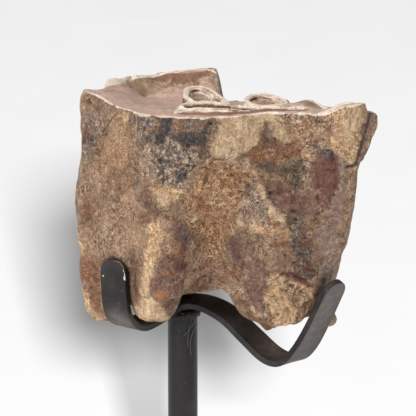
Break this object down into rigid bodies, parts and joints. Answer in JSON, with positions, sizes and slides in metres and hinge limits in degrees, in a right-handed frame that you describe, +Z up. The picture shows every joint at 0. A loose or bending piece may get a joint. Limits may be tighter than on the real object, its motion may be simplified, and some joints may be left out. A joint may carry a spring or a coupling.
{
  "type": "fossil rhino tooth on a stand",
  "caption": "Worn woolly rhino cheek tooth resting in a bent black steel cradle on a round post and a square plate.",
  "frame": {"origin": "centre of the base plate's underside, on the axis of the post", "axes": "+Z up along the post, +X along the tooth's length, -Y out of the tooth's cheek wall"},
  "size_m": [0.0781, 0.076, 0.1322],
  "materials": {
    "fossil": "worn, mottled brown fossil enamel, dentine and cement",
    "steel": "satin black paint on steel"
  },
  "bodies": {
    "root": {"base_plate": "steel", "post": "steel", "cradle_strap": "steel", "tooth": "fossil"}
  },
  "joints": []
}
